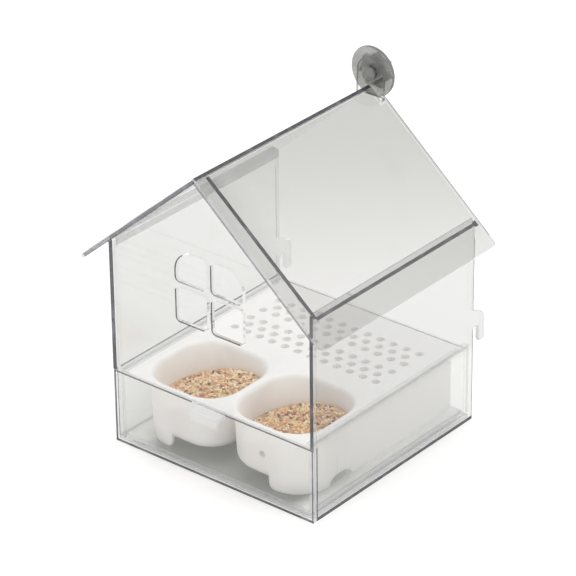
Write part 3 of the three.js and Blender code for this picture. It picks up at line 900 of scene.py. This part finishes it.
@dataclass
class PaneLines:
    """Painted dark reflections: thin lines on the near and lower cut edges of the window's panes, paler where
    the light runs out.

    A cut edge has a line where its normal's X and Z are above the least values.
    """

    middle_bar: float = 0.122
    reach: float = 0.029
    foot: float = 0.09
    step: float = 0.003
    width_mm: float = 0.85
    near_tone: float = 0.7
    upper_tone: float = 0.34
    lower_tone: float = 0.6
    fade: float = 0.75
    least_x: float = -0.2
    least_z: float = -0.3
    least_z_arched: float = -0.8
    cut_facing: float = 0.5
    nearness: float = 1e-5

    def seams(self, gable: BMesh, front: float) -> list[Seam]:
        """Finds the panes' edges on the gable's front.

        Args:
            gable: the front sheet's mesh.
            front: Y of its front face.

        Returns:
            The lines.
        """
        seams = []
        for edge in gable.edges:
            start, end = sorted((vert.co.copy() for vert in edge.verts), key=lambda place: (place.x, place.z))
            cuts = [face.normal.copy() for face in edge.link_faces if abs(face.normal.y) < self.cut_facing]
            on_front = all(abs(place.y - front) < self.nearness for place in (start, end))
            in_window = max(abs(start.x), abs(end.x)) < self.reach and min(start.z, end.z) > self.foot
            if cuts and on_front and in_window:
                seams += self.line(start, end, cuts[0])
        return seams

    def line(self, start: Vector, end: Vector, cut: Vector) -> list[Seam]:
        """Lays the line of one edge, in short steps.

        Args:
            start: the edge's left end.
            end: its right end.
            cut: normal of the cut face beside it.

        Returns:
            The steps, none of them where the edge shows no line.
        """
        near, lower = max(cut.x, 0.0), max(cut.z, 0.0)
        upper = start.z > self.middle_bar
        arched = upper and start.x < 0.0
        if cut.x < self.least_x or cut.z < (self.least_z_arched if arched else self.least_z):
            return []
        level_tone = self.upper_tone if upper else self.lower_tone
        count = max(1, math.ceil((end - start).length / self.step))
        steps = []
        for place in range(count):
            ends = [start.lerp(end, share / count) for share in (place, place + 1)]
            fade = 1.0 - self.fade * place / count if upper and lower > near else 1.0
            # Painted dark reflection, darker the more the cut face turns towards X and up
            shade = max(self.near_tone * near, level_tone * lower) * fade
            steps.append(Seam(*ends, cut * self.width_mm * MM, shade))
        return steps


@dataclass
class HouseShell(Assembly):
    """The glued clear sheets of the house: gable, sides, floor, rails and roof.

    The right side is the near one and the left side the far one. The sizes place the dark lines, at glued
    joints and as painted edge reflections. Those in millimetres are offsets from the sheets' own edges, and
    the others are places in metres.
    """

    body: str = "house"
    slot: str = "clear_sheet"
    gable_rise_mm: float = 0.15
    gable_inset_mm: Span = (0.5, 0.2)
    ridge_drop_mm: float = 0.95
    ridge_inset_mm: float = 0.2
    ridge_back: float = 0.0705
    verge_inset_mm: float = 0.11
    verge_rise_mm: float = 1.3
    verge_near_drop_mm: float = 0.7
    verge_steps_mm: tuple[float, ...] = (0.0, 55.0, 84.0, 111.0)
    verge_overlap_mm: float = 1.0
    verge_rear_mm: Span = (9.0, 112.0)
    verge_rear_inset_mm: float = 0.5
    eave_past_mm: float = 0.5
    eave_end: Span = (0.0728, 0.0757)
    over_eave_mm: float = 3.4
    wall_top_drop_mm: float = 1.4
    corner_inset_mm: float = 1.0
    wall_front_inset_mm: float = 0.45
    wall_front_foot: float = 0.002
    foot_rise_mm: float = 1.4
    rear_inset_mm: float = 0.4
    rear_spans: tuple[Span, ...] = ((0.002, 0.061), (0.074, 0.122))

    def build(self) -> None:
        """Makes every sheet and the dark lines that show, at glued joints and as painted edge reflections."""
        self.sheets({
            "front_gable": Palette.GABLE,
            "ridge_tab": Palette.TAB,
            "left_wall": Palette.FAR_SIDE,
            "right_wall": Palette.NEAR_SIDE,
            "left_rail": Palette.RAIL,
            "right_rail": Palette.RAIL,
            "floor_plate": Palette.FOOT,
            "roof_left": Palette.ROOF_LEFT,
            "roof_right": Palette.ROOF_RIGHT,
        })
        gable = self.welded("front_gable")
        panes = PaneLines().seams(gable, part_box("front_gable")[0].y)
        gable.free()
        self.strips("house_glue_and_edge_reflection_lines", self.roof_seams() + self.wall_seams() + panes)

    def roof_seams(self) -> list[Seam]:
        """Lays the dark lines along the ridge, over the gable and on both side sheets, at glued joints and as
        painted edge reflections.

        Returns:
            The lines.
        """
        wall_low, wall_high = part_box("right_wall")
        gable_low, gable_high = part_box("front_gable")
        roof_low, roof_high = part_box("roof_right")
        lean = Vector(Facing.RIGHT_SLOPE.value)
        slope = Vector((lean.z, 0.0, -lean.x))
        peak = TALL * gable_high.z + lean * self.gable_rise_mm * MM
        crest = TALL * roof_high.z
        verge = TALL * gable_high.z + DEEP * (roof_low.y + self.verge_inset_mm * MM)
        verge += lean * self.verge_rise_mm * MM
        eave = wall_high.x / slope.x
        ridge_front = DEEP * (roof_low.y + self.ridge_inset_mm * MM)
        gable_front = DEEP * (gable_low.y + self.gable_inset_mm[0] * MM)
        gable_back = DEEP * (gable_high.y - self.gable_inset_mm[1] * MM)
        seams = []
        for hand in HANDS:
            flip = Matrix.Diagonal((hand, 1.0, 1.0))
            down, out = flip @ slope, flip @ lean
            middle = flip @ (crest + slope * self.ridge_drop_mm * MM)
            top = flip @ peak
            if hand > 0:
                gable_kind, kinds = Line.GABLE_NEAR, [Line.VERGE_NEAR] * 3
                edge = verge - lean * self.verge_near_drop_mm * MM
            else:
                gable_kind, edge = Line.GABLE_FAR, flip @ verge
                kinds = [Line.VERGE_FAR_TOP, Line.VERGE_FAR_MIDDLE, Line.VERGE_FAR_LOW]
            seams.append(Seam.of(Line.RIDGE, down, middle + ridge_front, middle + DEEP * self.ridge_back))
            seams.append(Seam.of(gable_kind, DEEP, top + gable_front, top + down * eave + gable_back))
            for start, end, kind in zip(self.verge_steps_mm, self.verge_steps_mm[1:], kinds):
                first = edge + down * (start - self.verge_overlap_mm) * MM
                seams.append(Seam.of(kind, out, first, edge + down * end * MM))
        front, back = DEEP * wall_low.y, DEEP * -gable_low.y
        edge = peak + slope * (eave + self.eave_past_mm * MM)
        above = peak + slope * (eave - self.over_eave_mm * MM)
        rear = DEEP * (roof_high.y - self.verge_rear_inset_mm * MM) + crest
        inner = Vector((-wall_low.x, 0.0, wall_high.z - self.wall_top_drop_mm * MM))
        end_front, end_back = (edge + DEEP * place for place in self.eave_end)
        rear_top, rear_low = (rear + slope * place * MM for place in self.verge_rear_mm)
        return seams + [
            Seam.of(Line.EAVE, slope, edge + front, edge + back),
            Seam.of(Line.EAVE_END, slope, end_front, end_back),
            Seam.of(Line.OVER_EAVE, slope, above + front, above + back),
            Seam.of(Line.VERGE_REAR, DEEP, rear_top, rear_low),
            Seam.of(Line.FAR_WALL_TOP, TALL, inner + front, inner + back),
        ]

    def wall_seams(self) -> list[Seam]:
        """Lays the dark lines down the front corners, up the rear edges and along the side sheets' feet and
        rails, at glued joints and as painted edge reflections.

        Returns:
            The lines.
        """
        wall_low, wall_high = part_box("right_wall")
        gable_low, gable_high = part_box("front_gable")
        rail_low, rail_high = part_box("left_rail")
        front, back = DEEP * wall_low.y, DEEP * -gable_low.y
        near = Line.CORNER_NEAR, Line.FOOT_NEAR, Line.REAR_NEAR, Line.RAIL_NEAR
        far = Line.CORNER_FAR, Line.FOOT_FAR, Line.REAR_FAR, Line.RAIL_FAR
        seams = []
        for hand, (corner_kind, foot_kind, rear_kind, rail_kind) in zip(HANDS, (near, far)):
            side = WIDE * hand * wall_high.x
            corner = Vector((hand * (gable_high.x - self.corner_inset_mm * MM), gable_low.y, 0.0))
            face = side + DEEP * (wall_low.y + self.wall_front_inset_mm * MM)
            foot = side + TALL * (wall_low.z + self.foot_rise_mm * MM)
            rear = side + DEEP * (-gable_low.y - self.rear_inset_mm * MM)
            ledge = Vector((-hand * rail_low.x, 0.0, rail_high.z))
            gable_foot = TALL * gable_low.z
            seams += [
                Seam.of(corner_kind, WIDE, corner + gable_foot, corner + TALL * wall_high.z),
                Seam.of(Line.WALL_FRONT, DEEP, face + TALL * self.wall_front_foot, face + gable_foot),
                Seam.of(foot_kind, TALL, foot + front, foot + back),
            ]
            for low, high in self.rear_spans:
                seams.append(Seam.of(rear_kind, DEEP, rear + TALL * low, rear + TALL * high))
            seams.append(Seam.of(rail_kind, TALL, ledge + front, ledge + back))
        return seams


@dataclass
class RidgeClamp(Assembly):
    """The bolt, the large washer and the scalloped knob on the ridge tab."""

    body: str = "house"
    slot: str = "clamp_plastic"

    def build(self) -> None:
        """Makes the three turned pieces, each on its own body."""
        pieces = (
            ("house", "clamp_bolt", "bolt_turned", Palette.BOLT, 0.25),
            ("washer", "clamp_washer", "washer_disc", Palette.WASHER, 0.2),
            ("knob", "clamp_knob", "knob_scalloped", Palette.KNOB, 0.4),
        )
        for body, node, name, finish, edge_mm in pieces:
            self.body = body
            self.refined(node, name, finish, edge_mm)


@dataclass
class Drawer(Assembly):
    """The clear drawer: four sides, a floor and the finger pull, which parts the line on the front's top."""

    body: str = "drawer"
    slot: str = "drawer_sheet"
    pull: Span = (-0.015, 0.0068)
    line_inset_mm: float = 0.8
    end_inset_mm: float = 0.7

    def build(self) -> None:
        """Makes every sheet of the drawer and the lines on its front."""
        self.sheets({
            "drawer_front": Palette.DRAWER_FRONT,
            "drawer_left_side": Palette.DRAWER_SIDE,
            "drawer_right_side": Palette.DRAWER_SIDE,
            "drawer_back": Palette.DRAWER_BACK,
            "drawer_floor": Palette.DRAWER_FLOOR,
        })
        self.strips("drawer_glue_and_edge_reflection_lines", self.front_seams())

    def front_seams(self) -> list[Seam]:
        """Lays lines along the top, the foot and the ends of the drawer's front, and along the back's top.

        Returns:
            The lines.
        """
        low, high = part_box("front_gable")
        back_low, back_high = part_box("drawer_back")
        top = Vector((0.0, low.y, low.z - self.line_inset_mm * MM))
        foot = Vector((0.0, low.y, self.line_inset_mm * MM))
        back = Vector((0.0, back_low.y, back_high.z))
        half = WIDE * high.x
        pull_left, pull_right = (top + WIDE * place for place in self.pull)
        seams = [
            Seam.of(Line.DRAWER_TOP, TALL, top - half, pull_left),
            Seam.of(Line.DRAWER_TOP, TALL, pull_right, top + half),
            Seam.of(Line.DRAWER_FOOT, TALL, foot - half, foot + half),
            Seam.of(Line.DRAWER_BACK, TALL, back + WIDE * back_low.x, back + WIDE * back_high.x),
        ]
        for hand, kind in zip(HANDS, (Line.DRAWER_END_NEAR, Line.DRAWER_END_FAR)):
            end = WIDE * hand * (high.x - self.end_inset_mm * MM)
            seams.append(Seam.of(kind, WIDE, foot + end, top + end))
        return seams


class Draw(Enum):
    """What each random draw of the grains adds to the seed."""

    RISE = 11
    TURN = 23
    SIZE = 37
    TONE = 53


@dataclass
class GrainScatter:
    """Geometry Nodes tree that lays loose grains over a seed heap.

    Faces whose normal's Z is over top_facing bear grains, and inward draws these in from the bowl's wall.
    """

    spacing_mm: float = 1.2
    most_per_m2: float = 800000.0
    inward: float = 0.05
    top_facing: float = 0.6
    rise_mm: Span = (-0.9, 0.7)
    tilt: float = 0.7
    turn: float = 6.283
    least_scale: Colour = (0.78, 0.85, 0.85)
    most_scale: Colour = (1.15, 1.1, 1.1)
    kinds_mm: tuple[tuple[float, float, float], ...] = ((4.0, 1.4, 1.2), (3.1, 1.6, 1.4), (2.1, 1.7, 1.5))
    segments: int = 8
    rings: int = 6
    first_seed: int = 3

    def tree(self, grain: Material) -> NodeTree:
        """Builds the tree.

        Args:
            grain: the grains' material.

        Returns:
            The node group.
        """
        sizes = {"Spacing": self.spacing_mm * MM, "Inward": self.inward, "Seed": self.first_seed}
        tree, inputs = new_group("grain_scatter", {"Heap": None, **sizes}, "Seeded heap")
        heap, spacing, inward, seed = inputs
        up = tree.parts(tree.add("GeometryNodeInputNormal"))[2].above(self.top_facing)
        top = tree.add("GeometryNodeSeparateGeometry", {"Geometry": heap, "Selection": up}, domain="FACE")
        span = tree.raw("GeometryNodeBoundBox", {"Geometry": top})
        corners = {0: Signal(tree, span.outputs["Min"]), 1: Signal(tree, span.outputs["Max"])}
        middle = tree.vector("SCALE", {0: tree.vector("ADD", corners), "Scale": 0.5})
        away = tree.vector("SUBTRACT", {0: middle, 1: tree.add("GeometryNodeInputPosition")})
        away = tree.vector("MULTIPLY", {0: away, 1: (1.0, 1.0, 0.0)})
        drawn = tree.vector("SCALE", {0: away, "Scale": inward})
        drawn_in = tree.add("GeometryNodeSetPosition", {"Geometry": top, "Offset": drawn})
        points = tree.add("GeometryNodeDistributePointsOnFaces", {
            "Mesh": drawn_in, "Distance Min": spacing, "Density Max": self.most_per_m2, "Seed": seed,
        }, distribute_method="POISSON")
        lowest, highest = ((0.0, 0.0, rise * MM) for rise in self.rise_mm)
        lift = self._random(tree, lowest, highest, seed + Draw.RISE.value)
        points = tree.add("GeometryNodeSetPosition", {"Geometry": points, "Offset": lift})
        kinds = [self._kind(tree, size) for size in self.kinds_mm]
        tilted, turned = (-self.tilt, -self.tilt, 0.0), (self.tilt, self.tilt, self.turn)
        placed = tree.add("GeometryNodeInstanceOnPoints", {
            "Points": points,
            "Instance": tree.add("GeometryNodeJoinGeometry", {0: kinds}),
            "Pick Instance": True,
            "Rotation": self._random(tree, tilted, turned, seed + Draw.TURN.value),
            "Scale": self._random(tree, self.least_scale, self.most_scale, seed + Draw.SIZE.value),
        })
        tone_seed = {"Seed": seed + Draw.TONE.value}
        own = tree.add("FunctionNodeRandomValue", tone_seed, out=1, data_type="FLOAT")
        kept = {"Geometry": placed, "Name": "grain_tone", "Value": own}
        toned = tree.add("GeometryNodeStoreNamedAttribute", kept, data_type="FLOAT", domain="INSTANCE")
        real = tree.add("GeometryNodeRealizeInstances", {0: toned})
        dressed = tree.add("GeometryNodeSetMaterial", {"Geometry": real, "Material": grain})
        whole = tree.add("GeometryNodeJoinGeometry", {0: [heap, dressed]})
        tree.raw("NodeGroupOutput", {0: whole})
        return tree.nodes

    def _random(self, tree: Tree, low: Sequence[float], high: Sequence[float], seed: Feed) -> Signal:
        """Random vector for each point, from low to high."""
        feeds = {0: low, 1: high, "Seed": seed}
        return tree.add("FunctionNodeRandomValue", feeds, data_type="FLOAT_VECTOR")

    def _kind(self, tree: Tree, size: Sequence[float]) -> Signal:
        """Makes one kind of grain, lying along X.

        Args:
            tree: the tree.
            size: length, width and height in millimetres.

        Returns:
            The grain as an instance.
        """
        round_sizes = {"Segments": self.segments, "Rings": self.rings, "Radius": 0.5 * MM}
        ball = tree.add("GeometryNodeMeshUVSphere", round_sizes)
        along_x = (0.0, math.pi / 2, 0.0)
        lying = tree.add("GeometryNodeTransform", {"Geometry": ball, "Rotation": along_x})
        sized = tree.add("GeometryNodeTransform", {"Geometry": lying, "Scale": tuple(size)})
        smooth = tree.add("GeometryNodeSetShadeSmooth", {"Geometry": sized})
        return tree.add("GeometryNodeGeometryToInstance", {0: smooth})


@dataclass
class FeedingInsert(Assembly):
    """The white moulded insert with its two bowls and its grate."""

    body: str = "insert"
    slot: str = "white_plastic"

    def build(self) -> None:
        """Makes the moulding, whose solid has its rounded edges already."""
        self.refined("feeding_insert", "insert_moulding", Palette.INSERT)


@dataclass
class SeedHeaps(Assembly):
    """The seed in the insert's two bowls."""

    body: str = "insert"
    slot: str = "seed"
    crease: float = 60.0
    seeds: tuple[tuple[str, int], ...] = (("seed_left", 7), ("seed_right", 11))

    def build(self) -> None:
        """Covers both heaps with loose grains."""
        group = GrainScatter().tree(Palette.GRAIN.material())
        for node, seed in self.seeds:
            made = self.piece(node, f"{node}_grains", Palette.BED, self.crease)
            made.data = grown(made, group, {"Seed": seed})
            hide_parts(node)
            LOG.info("%s has %d faces with its grains", made.name, len(made.data.polygons))


@dataclass
class Studio:
    """Floor, soft light, white surround and the camera at the photograph's angle."""

    ambient: float = 0.85
    sun_strength: float = 0.85
    sun_spread: float = 60.0
    sun_from: tuple[float, float, float] = (0.35, 0.1, 1.0)
    floor_half: float = 3.0
    floor_height: float = -0.0004
    eye: tuple[float, float, float] = (1.1029, -1.3382, 1.0279)
    look: tuple[float, float, float] = (-0.5614, 0.6786, -0.4736)
    lens: float = 211.6
    sensor: float = 36.0
    roll: float = -0.609
    clip: Span = (0.05, 50.0)

    def build(self) -> None:
        """Makes the whole stage."""
        self.floor()
        self.light()
        self.surround()
        self.camera()

    def floor(self) -> None:
        """Lays the pale floor under the object."""
        shape = bmesh.new()
        bmesh.ops.create_grid(shape, x_segments=1, y_segments=1, size=self.floor_half)
        mesh = bpy.data.meshes.new("studio_floor")
        shape.to_mesh(mesh)
        shape.free()
        mesh.transform(Matrix.Translation((0.0, 0.0, self.floor_height)))
        mesh.materials.append(Palette.FLOOR.material())
        put("studio_floor", mesh)

    def light(self) -> None:
        """Hangs one wide soft light."""
        lamp = bpy.data.lights.new("soft_key", "SUN")
        lamp.energy = self.sun_strength
        lamp.angle = math.radians(self.sun_spread)
        made = put("soft_key", lamp)
        made.rotation_mode = "QUATERNION"
        made.rotation_quaternion = Vector(self.sun_from).to_track_quat("Z", "Y")

    def surround(self) -> None:
        """Makes the world: white where it is seen, soft grey where it lights."""
        world = bpy.data.worlds.new("studio_surround")
        world.use_nodes = True
        world.node_tree.nodes.clear()
        tree = Tree(world.node_tree)
        strength = tree.seen() * (1.0 - self.ambient) + self.ambient
        glow = tree.add("ShaderNodeBackground", {"Color": WHITE, "Strength": strength})
        tree.raw("ShaderNodeOutputWorld", {"Surface": glow})
        bpy.context.scene.world = world

    def camera(self) -> None:
        """Sets the camera where the photograph was taken from."""
        look = Vector(self.look).normalized()
        right = look.cross(TALL).normalized()
        up = right.cross(look)
        turn = math.radians(self.roll)
        side = right * math.cos(turn) + up * math.sin(turn)
        data = bpy.data.cameras.new("photo_camera")
        data.sensor_width = self.sensor
        data.lens = self.lens
        data.clip_start, data.clip_end = self.clip
        made = put("photo_camera", data)
        turned = Matrix((side, side.cross(look), -look)).transposed().to_4x4()
        made.matrix_world = Matrix.Translation(self.eye) @ turned
        bpy.context.scene.camera = made


def corners(box: Iterable[Vector]) -> list[list[float]]:
    """A box's corners as plain lists."""
    return [[float(value) for value in corner] for corner in box]


def main() -> None:
    logging.basicConfig(level=logging.INFO, format="%(message)s")
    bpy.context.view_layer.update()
    bpy.context.scene.view_settings.view_transform = "Standard"
    Studio().build()
    for part in (HouseShell(), RidgeClamp(), Drawer(), FeedingInsert(), SeedHeaps()):
        LOG.info("building %s", type(part).__name__)
        part.build()


if __name__ == "__main__":
    main()
